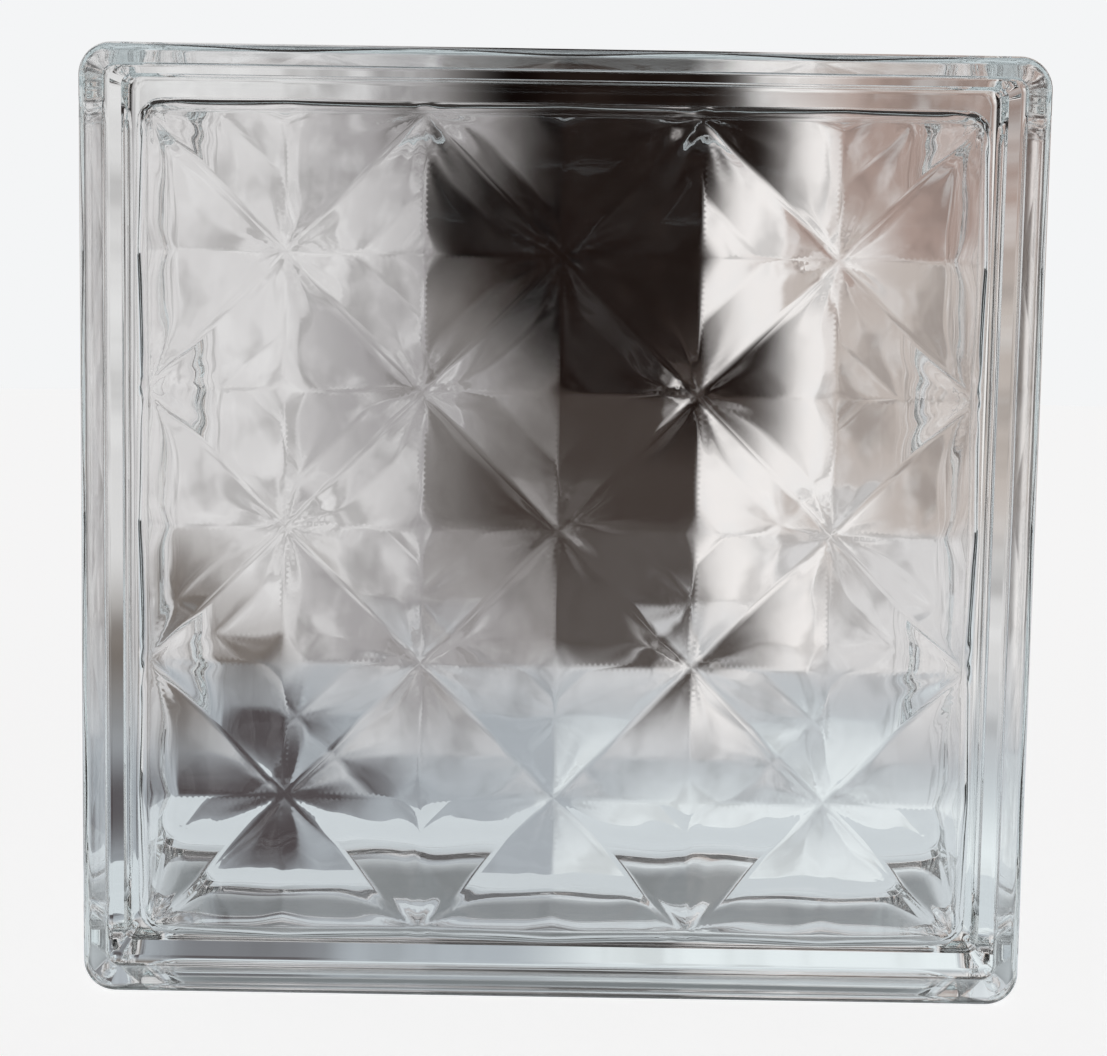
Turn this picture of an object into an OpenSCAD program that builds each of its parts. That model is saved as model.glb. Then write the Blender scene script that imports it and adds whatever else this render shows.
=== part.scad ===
// Hollow glass block with a star relief pressed into the inside of both faces.
//
// Two pressed shells are fused into one closed piece of glass, so the block is
// one solid: two faces, four side walls, a weld bead at mid-depth and a sealed
// hollow. It stands on one edge, with its faces towards -Y and +Y and the
// middle of its lower edge at the origin.

/* [Block] */
// Width and height of the square face
face_size = 190; // [145:1:300]
// Depth from the front face to the back face
block_depth = 80; // [60:1:120]
// Rounding along the edges of each face
face_edge_radius = 2; // [0.5:0.1:3]

/* [Mortar channel] */
// Depth of the channel that runs round the four sides
channel_depth = 4; // [2:0.1:6]
// Width of the full-size rim between a face and the channel
rim_width = 8; // [5:0.5:12]
// Width of the sloping shoulder between the rim and the channel floor
shoulder_width = 3; // [1:0.5:6]
// Radius of the channel floor where it turns a corner
channel_corner_radius = 2.5; // [1:0.1:8]
// Height of the weld bead above the channel floor
bead_height = 1.4; // [0.5:0.1:2]
// Width of the weld bead
bead_width = 6; // [3:0.5:10]

/* [Glass] */
// Thickness of each face where the relief is deepest
face_thickness = 7.4; // [5:0.1:12]
// Thickness of the side walls beside the faces
wall_thickness = 6; // [4.5:0.1:10]
// Taper of the inside walls, widening towards the weld
wall_draft = 1; // [0:0.1:3]
// Rounding between the inside walls and the faces
hollow_edge_radius = 3; // [1:0.1:4]
// Radius of the inside corners, seen from the front
hollow_corner_radius = 5.5; // [4.5:0.1:12]

/* [Star relief] */
// Distance between the upright lines of the relief
star_pitch = 27.5; // [18:0.5:40]
// Slope of the flanks between the ridges and the pits
flank_angle = 11; // [5:0.5:16]
// Width of the rounded bottom of each pit
pit_width = 10; // [6:0.5:20]

/* [Hidden] */

$fn = 96;
RIB_FN = 240;

// How far the weld bead is rooted in the channel floor
bead_root = 0.3;

// Outline of the glass
face_reach = face_size / 2;
half_depth = block_depth / 2;
corner_radius = channel_corner_radius + channel_depth;
corner_reach = face_reach - corner_radius;
channel_half_width = half_depth - rim_width - shoulder_width;

// Sealed hollow. Its plain end stands a little past the relief, which cuts it
// back.
end_margin = 0.3;
hollow_reach = face_reach - channel_depth - wall_thickness;
hollow_half_depth = half_depth - face_thickness;
plain_half_depth = hollow_half_depth + end_margin;
hollow_corner_reach = hollow_reach - hollow_corner_radius;
draft_slope = tan(wall_draft);
draft_growth = plain_half_depth * draft_slope;

// Relief: the hollow ends in ribs that run along both diagonals and cross at the
// middle of each pit. A ridge of glass stands between two ribs. The outermost
// rib runs on into the corner where less than this share of another rib would
// be left there.
least_rib_share = 1 / 8;
ridge_spacing = star_pitch * sqrt(2);
crest_half_width = pit_width / 2;
crest_radius = crest_half_width / sin(flank_angle);
crest_height = crest_radius * (1 - cos(flank_angle));
foot_half_width = ridge_spacing / 2 + crest_half_width;
foot_drop = crest_height + (foot_half_width - crest_half_width) * tan(flank_angle);
corner_diagonal = hollow_corner_reach * sqrt(2) + hollow_corner_radius;
rib_pairs = ceil(corner_diagonal / ridge_spacing - least_rib_share);
rib_length = 2 * (corner_diagonal + ridge_spacing);

// Radius of the arc that rises by height over a chord
function arc_radius(chord, height) = (pow(chord / 2, 2) + pow(height, 2)) / (2 * height);

// Sweeps a section round a square with rounded corners. The section lies at
// x >= 0 and mirrors about y = 0, where x runs outwards from the corner's axis
// and y runs along the depth; core_depth is its half height at x = 0.
module around_square(reach, core_depth) {
    for (x = [-reach, reach], y = [-reach, reach])
        translate([x, y, 0])
            rotate_extrude()
                children();
    for (turn = [0, 90])
        rotate([90, 0, turn])
            linear_extrude(height = 2 * reach, center = true)
                union() {
                    square([2 * reach, 2 * core_depth], center = true);
                    for (side = [0, 1])
                        mirror([side, 0])
                            translate([reach, 0])
                                children();
                }
}

module mirrored_in_depth() {
    children();
    mirror([0, 1])
        children();
}

// Segment of a circle that rises by height over a chord on the line x = 0, and
// is rooted a little way behind that line
module arc_segment(chord, height) {
    radius = arc_radius(chord, height);
    intersection() {
        translate([height - radius, 0])
            circle(r = radius);
        translate([-bead_root, -chord])
            square([bead_root + 2 * height, 2 * chord]);
    }
}

// Section of the glass at a corner: rim, shoulder, channel floor and weld bead
module glass_section() {
    mirrored_in_depth() {
        polygon([
            [0, 0],
            [channel_corner_radius, 0],
            [channel_corner_radius, channel_half_width],
            [corner_radius, half_depth - rim_width],
            [corner_radius, half_depth - face_edge_radius],
            [corner_radius - face_edge_radius, half_depth],
            [0, half_depth],
        ]);
        intersection() {
            translate([corner_radius - face_edge_radius, half_depth - face_edge_radius])
                circle(r = face_edge_radius);
            square([corner_radius, half_depth]);
        }
    }
    translate([channel_corner_radius, 0])
        arc_segment(bead_width, bead_height);
}

// Section of the hollow at a corner: tapered wall and rounded end
module hollow_section() {
    arc_x = hollow_corner_radius + hollow_edge_radius * (draft_slope - 1 / cos(wall_draft));
    arc_y = plain_half_depth - hollow_edge_radius;
    mirrored_in_depth() {
        polygon([
            [0, 0],
            [hollow_corner_radius + draft_growth, 0],
            [arc_x + hollow_edge_radius * cos(wall_draft), arc_y + hollow_edge_radius * sin(wall_draft)],
            [arc_x, plain_half_depth],
            [0, plain_half_depth],
        ]);
        translate([arc_x, arc_y])
            intersection() {
                circle(r = hollow_edge_radius);
                square(hollow_edge_radius);
            }
    }
}

// Section of one rib, with its flanks run on past its neighbours' ridges
module rib_section() {
    polygon([
        [-foot_half_width, 0],
        [-foot_half_width, hollow_half_depth - foot_drop],
        [-crest_half_width, hollow_half_depth - crest_height],
        [crest_half_width, hollow_half_depth - crest_height],
        [foot_half_width, hollow_half_depth - foot_drop],
        [foot_half_width, 0],
    ]);
    intersection() {
        translate([0, hollow_half_depth - crest_radius])
            circle(r = crest_radius, $fn = RIB_FN);
        translate([-crest_half_width, hollow_half_depth - crest_height])
            square([pit_width, 2 * crest_height]);
    }
}

// Section across a whole row of ribs, at the front and at the back
module rib_row_section() {
    mirrored_in_depth()
        for (i = [-rib_pairs : rib_pairs - 1])
            translate([(i + 0.5) * ridge_spacing, 0])
                rib_section();
}

module ribs() {
    rotate([90, 0, 0])
        linear_extrude(height = rib_length, center = true)
            rib_row_section();
}

module hollow() {
    intersection() {
        around_square(hollow_corner_reach, plain_half_depth)
            hollow_section();
        rotate(45)
            ribs();
        rotate(-45)
            ribs();
    }
}

module glass_block() {
    color([0.80, 0.87, 0.85, 0.45])
        translate([0, 0, face_reach])
            rotate([90, 0, 0])
                difference() {
                    around_square(corner_reach, half_depth)
                        glass_section();
                    hollow();
                }
}

glass_block();
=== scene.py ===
"""Looks of a hollow glass block with a star relief pressed into the inside of both faces.

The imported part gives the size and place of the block. This script models its glass again as
one fine mesh, with an outer skin and the skin of the sealed hollow, and stands it on a pale
studio floor. Lengths are in metres.
"""

import logging
import math
from dataclasses import dataclass
from enum import Enum
from typing import Any, Callable, Union

import bmesh
import bpy
from bmesh.types import BMEdge, BMesh, BMFace, BMVert
from mathutils import Matrix, Vector


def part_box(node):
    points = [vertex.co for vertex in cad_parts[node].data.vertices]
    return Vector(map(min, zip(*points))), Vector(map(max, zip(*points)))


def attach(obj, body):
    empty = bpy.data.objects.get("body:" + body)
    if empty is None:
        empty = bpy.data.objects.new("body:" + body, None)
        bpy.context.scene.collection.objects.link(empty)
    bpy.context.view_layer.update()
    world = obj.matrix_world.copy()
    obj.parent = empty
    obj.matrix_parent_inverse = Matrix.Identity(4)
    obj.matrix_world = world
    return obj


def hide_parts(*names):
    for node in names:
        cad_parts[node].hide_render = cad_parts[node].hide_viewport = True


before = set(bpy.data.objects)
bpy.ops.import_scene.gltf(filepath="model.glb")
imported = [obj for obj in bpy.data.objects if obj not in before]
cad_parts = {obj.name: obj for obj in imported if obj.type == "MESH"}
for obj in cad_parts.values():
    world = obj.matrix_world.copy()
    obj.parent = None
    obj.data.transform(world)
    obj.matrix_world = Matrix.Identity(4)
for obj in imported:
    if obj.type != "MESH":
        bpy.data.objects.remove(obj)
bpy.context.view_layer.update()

LOG = logging.getLogger("glass_block")
MM = 0.001
WELD_DISTANCE = 0.001 * MM
LIGHT_BOUNCES = 18
MIRROR_BOUNCES = 16

Colour = tuple[float, float, float]
Light = tuple[float, float, float, float]


def arc_radius(chord: float, height: float) -> float:
    """Radius of the arc that rises by height over a chord."""
    return ((chord / 2) ** 2 + height**2) / (2 * height)


class Section:
    """A chain of edges that is swept round the block.

    Its first number runs outwards from the axis of the block's corner, and its second runs
    along the depth, where the front is negative.
    """

    def __init__(self, mesh: BMesh) -> None:
        """Starts an empty chain.

        Args:
            mesh: The mesh that the chain is drawn in.
        """
        self.mesh = mesh
        self.last: BMVert | None = None
        self.rounded: list[tuple[BMVert, float, int]] = []

    def to(self, out: float, depth: float, radius: float = 0.0, segments: int = 4) -> None:
        """Draws a straight edge to a point.

        Args:
            out: Distance of the point from the corner's axis.
            depth: Place of the point along the depth.
            radius: Rounding of the chain at this point.
            segments: Number of edges in the rounding.
        """
        vert = self.mesh.verts.new((out, depth, 0))
        if self.last is not None:
            self.mesh.edges.new((self.last, vert))
        if radius > 0:
            self.rounded.append((vert, radius, segments))
        self.last = vert

    def swell(self, out: float, width: float, height: float, segments: int) -> None:
        """Draws an arc over the middle of the depth.

        Args:
            out: Distance of the wall under the arc from the corner's axis.
            width: Width of the arc along the depth.
            height: Height of the arc, negative where it rises inwards.
            segments: Number of edges in the arc.
        """
        radius = arc_radius(width, abs(height))
        centre = out + height - math.copysign(radius, height)
        half_angle = math.asin(min(1.0, width / 2 / radius))
        self.to(out, -width / 2)
        spun = bmesh.ops.spin(
            self.mesh,
            geom=[self.last],
            cent=(centre, 0, 0),
            axis=(0, 0, 1),
            angle=math.copysign(2 * half_angle, height),
            steps=segments,
        )
        self.last = next(g for g in spun["geom_last"] if isinstance(g, BMVert))

    def finish(self) -> list[BMEdge]:
        """Rounds the chain's corners.

        Returns:
            The edges of the chain.
        """
        for vert, radius, segments in self.rounded:
            ways = [(e.other_vert(vert).co - vert.co).normalized() for e in vert.link_edges]
            half_corner = ways[0].angle(ways[1]) / 2
            bmesh.ops.bevel(
                self.mesh,
                geom=[vert],
                offset=radius / math.tan(half_corner),
                offset_type="OFFSET",
                segments=segments,
                profile=0.5,
                affect="VERTICES",
                clamp_overlap=False,
                material=-1,
            )
        return list(self.mesh.edges)


def sweep_round_square(mesh: BMesh, chain: list[BMEdge], reach: float, steps: int) -> None:
    """Sweeps a chain round a square with rounded corners and fills the two ends.

    Args:
        mesh: The mesh, which holds the chain alone.
        chain: The edges to sweep.
        reach: Distance from the block's centre to the axes of its corners.
        steps: Number of faces round each corner.
    """
    bmesh.ops.translate(mesh, vec=(reach, 0, reach), verts=mesh.verts)
    edges = chain
    corner = Vector((reach, 0, reach))
    for _ in range(4):
        side = Vector((-corner.z, 0, corner.x))
        spun = bmesh.ops.spin(
            mesh, geom=edges, cent=corner, axis=(0, 1, 0), angle=-math.pi / 2, steps=steps
        )
        edges = [g for g in spun["geom_last"] if isinstance(g, BMEdge)]
        drawn = bmesh.ops.extrude_edge_only(mesh, edges=edges)["geom"]
        along = side - corner
        bmesh.ops.translate(mesh, vec=along, verts=[g for g in drawn if isinstance(g, BMVert)])
        edges = [
            g
            for g in drawn
            if isinstance(g, BMEdge) and all((v.co - corner).dot(along) > 0 for v in g.verts)
        ]
        edges = [e for e in edges if len(e.link_faces) == 1]
        corner = side
    bmesh.ops.remove_doubles(mesh, verts=mesh.verts, dist=WELD_DISTANCE)
    rims = [e for e in mesh.edges if e.is_boundary]
    bmesh.ops.holes_fill(mesh, edges=rims)


@dataclass(frozen=True)
class StarRelief:
    """Ribs along both diagonals, with flat flanks and a rounded crest.

    The hollow is deepest in the pits, where the crests of two ribs cross. The ridges of glass
    between the ribs draw the stars.
    """

    pitch: float = 27.5 * MM
    flank_angle: float = math.radians(11)
    pit_width: float = 10.0 * MM
    cells_per_pitch: int = 24
    streak_height: float = 0.1 * MM
    streak_reach: float = 17.0 * MM
    streak_sets: tuple[tuple[int, float, int], ...] = ((8, 1.0, 0), (13, 0.7, 1), (19, 0.5, 2))
    star_turns: tuple[float, float] = (1.7, 2.9)
    calm_share: float = 0.2
    wave_height: float = 0.05 * MM
    wave_length: float = 23.0 * MM
    wave_sway: float = 1.3
    sway_rate: float = 0.6
    rise_rate: float = 0.8
    rise_start: float = 0.4

    @property
    def cell(self) -> float:
        """Spacing of the mesh lines that the creases fall on."""
        return self.pitch / self.cells_per_pitch

    @property
    def spacing(self) -> float:
        """Distance between two ridges, and between two neighbouring stars."""
        return self.pitch * math.sqrt(2)

    def fall(self, off_crest: float) -> float:
        """Depth of one rib below its crest.

        Args:
            off_crest: Distance across the rib from the middle of its crest.

        Returns:
            The depth, which is nothing at the crest and most halfway to the next one.
        """
        rounded = self.pit_width / 2
        radius = rounded / math.sin(self.flank_angle)
        if off_crest < rounded:
            return radius - math.sqrt(radius**2 - off_crest**2)
        flank = (off_crest - rounded) * math.tan(self.flank_angle)
        return radius * (1 - math.cos(self.flank_angle)) + flank

    def drop(self, x: float, z: float) -> float:
        """Thickness of glass that the relief leaves above the bottoms of its pits."""
        across = ((x - z) / math.sqrt(2), (x + z) / math.sqrt(2))
        return max(self.fall(abs(a % self.spacing - self.spacing / 2)) for a in across)

    def flow(self, x: float, z: float) -> float:
        """Unevenness left by the press: streaks that run out from each star, and slow waves.

        Each set of streaks has a number round the star, a share of the height, and how far it
        is turned from star to star. The streaks start where the calm middle of the star ends.

        Args:
            x: Place across the face, from its middle.
            z: Place up the face, from its middle.

        Returns:
            The height to add to the glass.
        """
        along = ((x + z) / math.sqrt(2), (x - z) / math.sqrt(2))
        star = [round(a / self.spacing) for a in along]
        run, rise = (a - s * self.spacing for a, s in zip(along, star))
        turn = math.atan2(rise, run)
        start = self.star_turns[0] * star[0] + self.star_turns[1] * star[1]
        rays = sum(
            share * math.cos(count * turn + shift * start)
            for count, share, shift in self.streak_sets
        )
        reach = math.hypot(run, rise) / self.streak_reach
        fade = max(0.0, 1 - reach) * min(1.0, reach / self.calm_share)
        beat = 2 * math.pi / self.wave_length
        sway = self.wave_sway * math.sin(self.sway_rate * beat * z)
        waves = math.sin(beat * x + sway) * math.cos(self.rise_rate * beat * z + self.rise_start)
        return self.streak_height * rays * fade + self.wave_height * waves


@dataclass
class OuterSkin:
    """The outside of the glass: two faces, and a channel with a weld bead round four sides."""

    size: float
    depth: float
    face_edge_radius: float = 2.0 * MM
    channel_depth: float = 4.0 * MM
    rim_width: float = 8.0 * MM
    shoulder_width: float = 3.0 * MM
    channel_corner_radius: float = 2.5 * MM
    bead_height: float = 1.4 * MM
    bead_width: float = 6.0 * MM
    rim_rounding: float = 0.8 * MM
    channel_rounding: float = 1.5 * MM
    flat_border: float = 0.2 * MM
    corner_steps: int = 12
    edge_steps: int = 10
    bead_steps: int = 12

    def build(self) -> BMesh:
        """Makes the skin round the block's centre.

        Returns:
            A closed mesh whose faces point away from the glass.
        """
        mesh = bmesh.new()
        half = self.depth / 2
        corner = self.channel_corner_radius + self.channel_depth
        floor = self.channel_corner_radius
        shoulder = half - self.rim_width - self.shoulder_width
        section = Section(mesh)
        section.to(corner - self.face_edge_radius - self.flat_border, -half)
        section.to(corner, -half, self.face_edge_radius, self.edge_steps)
        section.to(corner, self.rim_width - half, self.rim_rounding)
        section.to(floor, -shoulder, self.channel_rounding)
        section.swell(floor, self.bead_width, self.bead_height, self.bead_steps)
        section.to(floor, shoulder, self.channel_rounding)
        section.to(corner, half - self.rim_width, self.rim_rounding)
        section.to(corner, half, self.face_edge_radius, self.edge_steps)
        section.to(corner - self.face_edge_radius - self.flat_border, half)
        sweep_round_square(mesh, section.finish(), self.size / 2 - corner, self.corner_steps)
        bmesh.ops.recalc_face_normals(mesh, faces=mesh.faces)
        return mesh


@dataclass
class HollowSkin:
    """The skin of the sealed hollow: tapered walls, rounded ends, and the relief on both."""

    reach: float
    half_depth: float
    relief: StarRelief
    corner_radius: float = 5.5 * MM
    edge_radius: float = 3.0 * MM
    draft: float = math.radians(1)
    corner_steps: int = 12
    edge_steps: int = 10

    def build(self) -> BMesh:
        """Makes the skin round the block's centre.

        Returns:
            A closed mesh whose faces point into the hollow.
        """
        mesh = bmesh.new()
        widest = self.corner_radius + self.half_depth * math.tan(self.draft)
        flat = self.corner_radius - self.edge_radius
        section = Section(mesh)
        section.to(flat, -self.half_depth)
        section.to(self.corner_radius, -self.half_depth, self.edge_radius, self.edge_steps)
        section.to(widest, 0)
        section.to(self.corner_radius, self.half_depth, self.edge_radius, self.edge_steps)
        section.to(flat, self.half_depth)
        corner_reach = self.reach - self.corner_radius
        sweep_round_square(mesh, section.finish(), corner_reach, self.corner_steps)
        self._cut_cells(mesh, corner_reach)
        self._press_relief(mesh)
        bmesh.ops.recalc_face_normals(mesh, faces=mesh.faces)
        bmesh.ops.reverse_faces(mesh, faces=mesh.faces)
        return mesh

    def _is_end(self, face: BMFace) -> bool:
        """True for a face that lies flat on one of the hollow's ends."""
        return all(abs(abs(v.co.y) - self.half_depth) < WELD_DISTANCE for v in face.verts)

    def _cut_cells(self, mesh: BMesh, corner_reach: float) -> None:
        """Cuts the ends, and the walls beside them, along the lines that creases fall on.

        Args:
            mesh: The swept hollow.
            corner_reach: Distance from the centre past which only the ends are cut.
        """
        count = int(self.reach / self.relief.cell)
        for way in (Vector((1, 0, 0)), Vector((0, 0, 1))):
            for line in range(-count, count + 1):
                place = line * self.relief.cell
                faces = [f for f in mesh.faces if abs(place) < corner_reach or self._is_end(f)]
                edges = {e for f in faces for e in f.edges}
                verts = {v for f in faces for v in f.verts}
                bmesh.ops.bisect_plane(
                    mesh,
                    geom=[*verts, *edges, *faces],
                    dist=WELD_DISTANCE,
                    plane_co=way * place,
                    plane_no=way,
                )
        bmesh.ops.poke(mesh, faces=[f for f in mesh.faces if self._is_end(f)])

    def _press_relief(self, mesh: BMesh) -> None:
        """Lowers the ends, with the rounding along their edges, by the relief.

        Args:
            mesh: The hollow, cut into cells.
        """
        rounding_starts = self.half_depth - self.edge_radius - WELD_DISTANCE
        for vert in mesh.verts:
            if abs(vert.co.y) > rounding_starts:
                turned = vert.co.x * math.copysign(1, vert.co.y)
                end = abs(vert.co.y) - self.relief.drop(vert.co.x, vert.co.z)
                end -= self.relief.flow(turned, vert.co.z)
                vert.co.y = math.copysign(end, vert.co.y)


@dataclass(frozen=True)
class Signal:
    """One output of a shader's nodes, written in sums as if it were a number."""

    tree: bpy.types.NodeTree
    socket: bpy.types.NodeSocket

    def _math(self, operation: str, *values: "Number") -> "Signal":
        """Adds a Math node whose inputs are the values in order."""
        return Nodes(self.tree).add("ShaderNodeMath", {"operation": operation}, dict(enumerate(values)))

    def __sub__(self, other: "Number") -> "Signal":
        """Difference from a number or a signal."""
        return self._math("SUBTRACT", self, other)

    def __rsub__(self, other: "Number") -> "Signal":
        """Difference of a number on the left."""
        return self._math("SUBTRACT", other, self)

    def __mul__(self, other: "Number") -> "Signal":
        """Product with a number or a signal."""
        return self._math("MULTIPLY", self, other)

    def __rmul__(self, other: "Number") -> "Signal":
        """Product with a number on the left."""
        return self._math("MULTIPLY", other, self)

    def __abs__(self) -> "Signal":
        """Size without its sign."""
        return self._math("ABSOLUTE", self)

    def step(self, start: float, end: float) -> "Signal":
        """Smooth step.

        Args:
            start: Value where the step leaves nothing.
            end: Value where the step reaches one; less than start for a falling step.

        Returns:
            The step, from nothing to one.
        """
        settings = {"interpolation_type": "SMOOTHSTEP"}
        values = {"Value": self, "From Min": start, "From Max": end}
        return Nodes(self.tree).add("ShaderNodeMapRange", settings, values)


Number = Union[float, Signal]


@dataclass(frozen=True)
class Nodes:
    """A node tree, and the ways in which nodes are added to it."""

    tree: bpy.types.NodeTree

    def add(
        self,
        kind: str,
        settings: dict[str, Any] | None = None,
        values: dict[Any, Any] | None = None,
        output: str | int = 0,
    ) -> Signal:
        """Adds a node.

        Args:
            kind: Type of the node.
            settings: The node's own properties, set first.
            values: A value, a colour or a signal for each named or numbered input.
            output: Name or number of the output that is used.

        Returns:
            That output.
        """
        node = self.tree.nodes.new(kind)
        for name, setting in (settings or {}).items():
            setattr(node, name, setting)
        for name, value in (values or {}).items():
            self.feed(node.inputs[name], value)
        return Signal(self.tree, node.outputs[output])

    def feed(self, socket: bpy.types.NodeSocket, value: Any) -> None:
        """Sets an input, or links a signal to it.

        Args:
            socket: The input.
            value: A value, a colour or a signal.
        """
        if isinstance(value, Signal):
            self.tree.links.new(value.socket, socket)
        else:
            socket.default_value = value

    def place(self) -> tuple[Signal, Signal, Signal]:
        """Reads where a point of the object is.

        Returns:
            Its object coordinates, one signal for each axis.
        """
        spot = self.add("ShaderNodeTexCoord", output="Object")
        split = self.add("ShaderNodeSeparateXYZ", values={"Vector": spot}).socket.node
        return tuple(Signal(self.tree, axis) for axis in split.outputs)

    def mirrored(self) -> Signal:
        """One for light that a surface has mirrored on its way, and nothing for the rest."""
        return self.add("ShaderNodeLightPath", output="Glossy Depth").step(0.2, 0.8)

    def vector(self, x: Number, y: Number, z: Number) -> Signal:
        """Joins three signals into a vector."""
        return self.add("ShaderNodeCombineXYZ", values={"X": x, "Y": y, "Z": z})

    def mix(self, share: Number, first: Any, second: Any) -> Signal:
        """Blends two colours.

        Args:
            share: Share of the second colour.
            first: A colour or a signal.
            second: A colour or a signal.

        Returns:
            The blend.
        """
        values = {0: share, 6: first, 7: second}
        return self.add("ShaderNodeMix", {"data_type": "RGBA"}, values, output=2)

    def noise(self, spot: Signal, scale: float, detail: float = 2.0) -> Signal:
        """Soft noise about nothing, a half either way."""
        values = {"Vector": spot, "Scale": scale, "Detail": detail, "Roughness": 0.5}
        return self.add("ShaderNodeTexNoise", {"noise_dimensions": "3D"}, values) - 0.5


def shade(red: float, green: float, blue: float) -> Light:
    """Turns a colour as it looks on a screen, from 0 to 255, into light.

    Args:
        red: Red part.
        green: Green part.
        blue: Blue part.

    Returns:
        The linear colour, with full alpha.
    """
    parts = [part / 255 for part in (red, green, blue)]
    light = [p / 12.92 if p <= 0.04045 else ((p + 0.055) / 1.055) ** 2.4 for p in parts]
    return (light[0], light[1], light[2], 1.0)


@dataclass(frozen=True)
class PressedGlass:
    """Finish of clear pressed glass, with a fine ripple, and duller where it was fused."""

    middle: Vector
    ior: float = 1.52
    tint: Colour = (0.72, 0.86, 0.84)
    tint_density: float = 1.6
    ripple_height: float = 0.002 * MM
    ripples_per_metre: float = 260.0
    weld_half_width: float = 3.0 * MM
    weld_roughness: float = 0.12

    def material(self) -> bpy.types.Material:
        """Makes the material.

        Returns:
            A glass that bends light at its surface and tints it on the way through.
        """
        made = bpy.data.materials.new("clear_glass")
        made.use_nodes = True
        nodes = Nodes(made.node_tree)
        shader = made.node_tree.nodes["Principled BSDF"]
        output = made.node_tree.nodes["Material Output"]
        nodes.feed(shader.inputs["Base Color"], (1.0, 1.0, 1.0, 1.0))
        nodes.feed(shader.inputs["Transmission Weight"], 1.0)
        nodes.feed(shader.inputs["IOR"], self.ior)
        nodes.feed(shader.inputs["Roughness"], self._weld_haze(nodes))
        nodes.feed(shader.inputs["Normal"], self._ripple(nodes))
        tint = nodes.add(
            "ShaderNodeVolumeAbsorption",
            values={"Color": (*self.tint, 1.0), "Density": self.tint_density},
        )
        nodes.feed(output.inputs["Volume"], tint)
        return made

    def _weld_haze(self, nodes: Nodes) -> Signal:
        """Makes the roughness.

        Args:
            nodes: The glass's nodes.

        Returns:
            The roughness, which is nothing away from the weld.
        """
        _, y, _ = nodes.place()
        off_weld = abs(y - self.middle.y)
        return off_weld.step(self.weld_half_width, self.weld_half_width / 2) * self.weld_roughness

    def _ripple(self, nodes: Nodes) -> Signal:
        """Makes the fine ripple.

        Args:
            nodes: The glass's nodes.

        Returns:
            The normal of the rippled glass.
        """
        spot = nodes.add("ShaderNodeTexCoord", output="Object")
        height = nodes.noise(spot, self.ripples_per_metre, detail=0.0) * self.ripple_height
        return nodes.add("ShaderNodeBump", values={"Height": height, "Distance": 1.0})


@dataclass
class GlassBlock:
    """The whole block, as one closed piece of glass."""

    low: Vector
    high: Vector
    channel_depth: float = 4.0 * MM
    wall_thickness: float = 6.0 * MM
    face_thickness: float = 7.4 * MM

    def build(self) -> bpy.types.Object:
        """Makes the block in its place.

        Returns:
            The object that holds both skins.
        """
        size = self.high.x - self.low.x
        depth = self.high.y - self.low.y
        centre = (self.low + self.high) / 2
        reach = size / 2 - self.channel_depth - self.wall_thickness
        outer = OuterSkin(size, depth, channel_depth=self.channel_depth).build()
        relief = StarRelief()
        half_hollow = depth / 2 - self.face_thickness
        hollow = HollowSkin(reach, half_hollow, relief).build()
        data = bpy.data.meshes.new("pressed_glass")
        for skin in (outer, hollow):
            for face in skin.faces:
                face.smooth = True
            bmesh.ops.translate(skin, vec=centre, verts=skin.verts)
        hollow.to_mesh(data)
        whole = outer
        whole.from_mesh(data)
        whole.to_mesh(data)
        whole.free()
        hollow.free()
        data.materials.append(PressedGlass(centre).material())
        made = bpy.data.objects.new("pressed_glass", data)
        bpy.context.scene.collection.objects.link(made)
        return made


@dataclass
class Viewpoint:
    """The camera, in front of the block and a little above its middle."""

    target: Vector
    distance: float = 0.484
    elevation: float = math.radians(6.2)
    roll: float = math.radians(0.95)
    lens: float = 72.8
    aim_right: float = -0.9 * MM
    aim_up: float = -3.0 * MM
    clip_start: float = 10 * MM

    def build(self) -> None:
        """Makes the camera and gives it to the scene."""
        data = bpy.data.cameras.new("camera")
        data.lens = self.lens
        data.clip_start = self.clip_start
        camera = bpy.data.objects.new("camera", data)
        turn = Matrix.Rotation(math.pi / 2 - self.elevation, 4, "X")
        aim = Matrix.Translation(self.target) @ turn
        camera.matrix_world = (
            aim
            @ Matrix.Translation((self.aim_right, self.aim_up, self.distance))
            @ Matrix.Rotation(self.roll, 4, "Z")
        )
        bpy.context.scene.collection.objects.link(camera)
        bpy.context.scene.camera = camera


class Shown(Enum):
    """Which rays meet a stage piece."""

    TO_CAMERA = "to the camera alone"
    IN_GLASS = "in what the glass bends and mirrors"

    def apply(self, piece: bpy.types.Object) -> None:
        """Sets which rays meet a piece.

        Args:
            piece: The stage piece.
        """
        piece.visible_camera = self is not Shown.IN_GLASS
        piece.visible_diffuse = False
        piece.visible_shadow = False
        piece.visible_glossy = self is not Shown.TO_CAMERA
        piece.visible_transmission = self is not Shown.TO_CAMERA


def stage_piece(
    name: str, mesh: BMesh, finish: bpy.types.Material, shown: Shown
) -> bpy.types.Object:
    """Makes a piece of the stage.

    Args:
        name: Name of the piece.
        mesh: Its shape, which is freed.
        finish: Its material.
        shown: Which rays meet it.

    Returns:
        The piece.
    """
    data = bpy.data.meshes.new(name)
    mesh.to_mesh(data)
    mesh.free()
    data.materials.append(finish)
    made = bpy.data.objects.new(name, data)
    bpy.context.scene.collection.objects.link(made)
    shown.apply(made)
    return made


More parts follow.
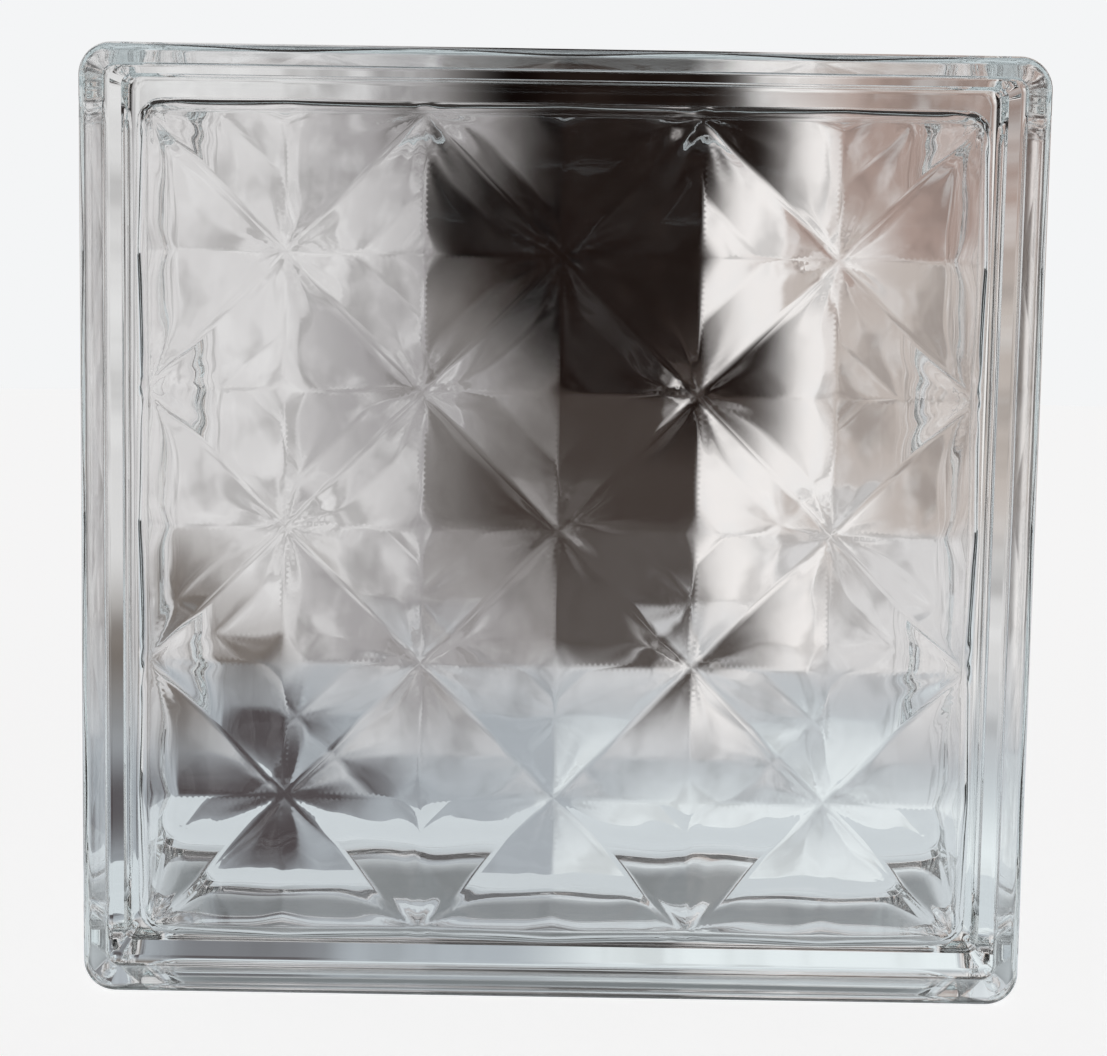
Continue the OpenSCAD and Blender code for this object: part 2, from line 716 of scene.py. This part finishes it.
@dataclass(frozen=True)
class Glow:
    """Finish of a stage piece that only gives light."""

    name: str
    strength: float = 1.0

    def material(self, colour: Callable[[Nodes], Any]) -> bpy.types.Material:
        """Makes the material.

        Args:
            colour: Adds the nodes of the light's colour and returns the last of them.

        Returns:
            The material.
        """
        made = bpy.data.materials.new(self.name)
        made.use_nodes = True
        tree = made.node_tree
        nodes = Nodes(tree)
        tree.nodes.remove(tree.nodes["Principled BSDF"])
        values = {"Color": colour(nodes), "Strength": self.strength}
        light = nodes.add("ShaderNodeEmission", values=values)
        nodes.feed(tree.nodes["Material Output"].inputs["Surface"], light)
        return made


@dataclass(frozen=True)
class SoftPanel:
    """A soft-edged patch of one colour on a backdrop, in millimetres from the block's middle."""

    colour: Light
    left: float
    right: float
    low: float
    high: float
    soft: float

    def over(self, nodes: Nodes, x: Signal, z: Signal, under: Any) -> Signal:
        """Paints the patch over what lies under it.

        Args:
            nodes: The backdrop's nodes.
            x: Place across the backdrop.
            z: Place up the backdrop.
            under: Colour under the patch.

        Returns:
            The colour with the patch on it.
        """
        share = (
            self._past(x, self.left, 1)
            * self._past(x, self.right, -1)
            * self._past(z, self.low, 1)
            * self._past(z, self.high, -1)
        )
        return nodes.mix(share, under, self.colour)

    def _past(self, place: Signal, edge: float, way: int) -> Signal:
        """Soft step across one edge, rising where way is 1 and falling where it is -1."""
        half = self.soft / 2 * way
        return place.step((edge - half) * MM, (edge + half) * MM)


@dataclass
class Backdrop:
    """Soft panels behind the block, which show through it."""

    middle: Vector
    behind: float = 90 * MM
    off_floor: float = 1 * MM
    half_width: float = 0.3
    height: float = 0.32
    far: float = 1000.0
    strength: float = 1.15
    ground: Light = shade(212, 210, 210)
    shadow: Light = shade(52, 42, 38)
    light: Light = shade(234, 233, 233)
    shadows_per_metre: float = 66.0
    lights_per_metre: float = 96.0
    stretch: float = 0.7
    shadow_on_pale: float = 0.16
    light_on_pale: float = 0.42
    shadow_on_all: float = 0.2

    def pale_panels(self) -> list[SoftPanel]:
        """The pale panels, the lowest first."""
        far = self.far
        return [
            SoftPanel(shade(168, 148, 140), 56, far, 26, far, 40),
            SoftPanel(shade(188, 178, 172), 60, far, -10, 60, 34),
            SoftPanel(shade(240, 236, 234), 40, 66, -64, 90, 18),
            SoftPanel(shade(166, 163, 164), -52, -10, -60, far, 30),
        ]

    def dark_panels(self) -> list[SoftPanel]:
        """The panels that lie over the pale ones, the lowest first."""
        far = self.far
        return [
            SoftPanel(shade(146, 142, 141), -26, 10, -44, far, 26),
            SoftPanel(shade(122, 118, 116), -26, 10, -14, far, 24),
            SoftPanel(shade(84, 78, 75), -4, 40, -46, far, 22),
            SoftPanel(shade(64, 56, 52), -8, 40, -8, far, 26),
            SoftPanel(shade(10, 5, 4), -24, 38, 40, far, 24),
            SoftPanel(shade(24, 16, 13), -4, 38, 22, far, 18),
            SoftPanel(shade(110, 101, 94), -116, -72, -72, -30, 30),
            SoftPanel(shade(166, 172, 178), -far, far, -far, -58, 44),
            SoftPanel(shade(76, 70, 72), -96, -54, -92, -68, 20),
            SoftPanel(shade(224, 230, 232), 4, far, -far, -74, 34),
        ]

    def build(self) -> bpy.types.Object:
        """Makes the card and its light.

        Returns:
            The card.
        """
        mesh = bmesh.new()
        bmesh.ops.create_grid(mesh, x_segments=1, y_segments=1, size=1)
        bmesh.ops.scale(mesh, vec=(self.half_width, self.height / 2, 1), verts=mesh.verts)
        bmesh.ops.rotate(mesh, matrix=Matrix.Rotation(math.pi / 2, 3, "X"), verts=mesh.verts)
        height = self.height / 2 + self.off_floor
        place = (self.middle.x, self.middle.y + self.behind, height)
        bmesh.ops.translate(mesh, vec=place, verts=mesh.verts)
        finish = Glow("backdrop", self.strength).material(self._colour)
        return stage_piece("backdrop", mesh, finish, Shown.IN_GLASS)

    def _colour(self, nodes: Nodes) -> Signal:
        """Paints the panels, with soft shadows and lights on them.

        Args:
            nodes: The backdrop's nodes.

        Returns:
            The colour.
        """
        x, _, z = nodes.place()
        across, up = x - self.middle.x, z - self.middle.z
        spot = nodes.vector(x, 0.0, z * self.stretch)
        shadows = nodes.noise(spot, self.shadows_per_metre, detail=3.0).step(-0.04, 0.18)
        lights = nodes.noise(spot, self.lights_per_metre, detail=4.0).step(-0.05, 0.2)
        colour: Any = self.ground
        for panel in self.pale_panels():
            colour = panel.over(nodes, across, up, colour)
        colour = nodes.mix(shadows * self.shadow_on_pale, colour, self.shadow)
        colour = nodes.mix(lights * self.light_on_pale, colour, self.light)
        for panel in self.dark_panels():
            colour = panel.over(nodes, across, up, colour)
        return nodes.mix(shadows * self.shadow_on_all, colour, self.shadow)


@dataclass
class Floor:
    """A pale floor, which also glows softly into the glass that stands on it.

    In the glass it has painted shade: dark in what the glass mirrors of the floor in front, and
    under the block, where little light reaches it. Seen through the glass from behind, the floor in
    front has soft patches of painted shade.
    """

    middle: Vector
    radius: float = 2.5
    steps: int = 64
    paint: Colour = (0.9, 0.905, 0.91)
    lift: float = 0.77
    glow: Light = shade(214, 221, 225)
    # Painted shade on the floor in front, seen only in what the glass mirrors.
    mirrored: Light = shade(44, 42, 41)
    # Painted shade, in soft patches, on the floor in front.
    shade_patch: Light = shade(150, 151, 152)
    shade_patches_per_metre: float = 13.0
    front_starts: float = 50 * MM
    front_ends: float = 110 * MM
    under_block: Light = shade(118, 123, 125)
    under_depth: tuple[float, float] = (40 * MM, 20 * MM)
    under_width: tuple[float, float] = (100 * MM, 74 * MM)

    def build(self) -> list[bpy.types.Object]:
        """Makes the floor that the camera sees and the one that shows in the glass.

        Returns:
            Both stage pieces.
        """
        light = Glow("floor_light").material(self._colour)
        return [
            stage_piece("floor", self._disc(), self._matt(), Shown.TO_CAMERA),
            stage_piece("lit_floor", self._disc(), light, Shown.IN_GLASS),
        ]

    def _disc(self) -> BMesh:
        """Makes the round shape of a floor."""
        mesh = bmesh.new()
        bmesh.ops.create_circle(mesh, cap_ends=True, segments=self.steps, radius=self.radius)
        return mesh

    def _matt(self) -> bpy.types.Material:
        """Makes the pale matt paint that the camera sees.

        Returns:
            The paint.
        """
        made = bpy.data.materials.new("floor_paint")
        made.use_nodes = True
        inputs = made.node_tree.nodes["Principled BSDF"].inputs
        inputs["Base Color"].default_value = (*self.paint, 1)
        inputs["Roughness"].default_value = 1.0
        inputs["Specular IOR Level"].default_value = 0.0
        inputs["Emission Color"].default_value = (1, 1, 1, 1)
        inputs["Emission Strength"].default_value = self.lift
        return made

    def _colour(self, nodes: Nodes) -> Signal:
        """Colours the light that the glass takes from the floor.

        Args:
            nodes: The floor's nodes.

        Returns:
            The colour.
        """
        x, y, _ = nodes.place()
        in_front = (self.middle.y - y).step(self.front_starts, self.front_ends)
        # Soft patches of painted shade on the floor in front.
        shade_mottle = nodes.noise(nodes.vector(x, y, 0.0), self.shade_patches_per_metre).step(-0.06, 0.14)
        glow = nodes.mix(in_front * shade_mottle, self.glow, self.shade_patch)
        # Painted shade in what the glass mirrors of the floor in front.
        glow = nodes.mix(in_front * nodes.mirrored(), glow, self.mirrored)
        under = abs(y - self.middle.y).step(*self.under_depth)
        under *= abs(x - self.middle.x).step(*self.under_width)
        return nodes.mix(under, glow, self.under_block)


@dataclass
class StudioLight:
    """Soft light from all round, darker above and on the camera's side.

    The camera's side is darkest in what the glass mirrors, so that dark areas stay dark.
    """

    level: float = 1.0
    side: Light = shade(222, 223, 224)
    ceiling: Light = shade(48, 43, 41)
    ceiling_rise: tuple[float, float] = (0.3, 0.6)
    front: Light = shade(160, 157, 155)
    front_mirrored: Light = shade(34, 30, 28)
    front_run: tuple[float, float] = (-0.7, -0.88)
    beyond: Light = shade(244, 245, 246)

    def build(self) -> None:
        """Makes the world."""
        world = bpy.data.worlds.new("studio")
        bpy.context.scene.world = world
        world.use_nodes = True
        nodes = Nodes(world.node_tree)
        toward = nodes.add("ShaderNodeTexCoord", output="Generated")
        split = nodes.add("ShaderNodeSeparateXYZ", values={"Vector": toward}).socket.node
        _, y, z = (Signal(world.node_tree, axis) for axis in split.outputs)
        front = nodes.mix(nodes.mirrored(), self.front, self.front_mirrored)
        glow = nodes.mix(y.step(*self.front_run), self.side, front)
        glow = nodes.mix(z.step(*self.ceiling_rise), glow, self.ceiling)
        to_camera = nodes.add("ShaderNodeLightPath", output="Is Camera Ray")
        glow = nodes.mix(to_camera, glow, self.beyond)
        back = world.node_tree.nodes["Background"]
        nodes.feed(back.inputs["Color"], glow)
        nodes.feed(back.inputs["Strength"], self.level)


def main() -> None:
    """Builds the camera, the block and its stage."""
    logging.basicConfig(level=logging.INFO, format="%(name)s: %(message)s")
    low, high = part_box("glass_block")
    middle = (low + high) / 2
    Viewpoint(middle).build()
    block = GlassBlock(low, high).build()
    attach(block, "root")
    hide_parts("glass_block")
    stage = [Backdrop(middle).build(), *Floor(middle).build()]
    StudioLight().build()
    for piece in (block, *stage):
        LOG.info("%s: %d faces", piece.name, len(piece.data.polygons))
    scene = bpy.context.scene
    scene.view_settings.view_transform = "Standard"
    scene.cycles.max_bounces = LIGHT_BOUNCES
    scene.cycles.transmission_bounces = LIGHT_BOUNCES
    scene.cycles.glossy_bounces = MIRROR_BOUNCES


if __name__ == "__main__":
    main()
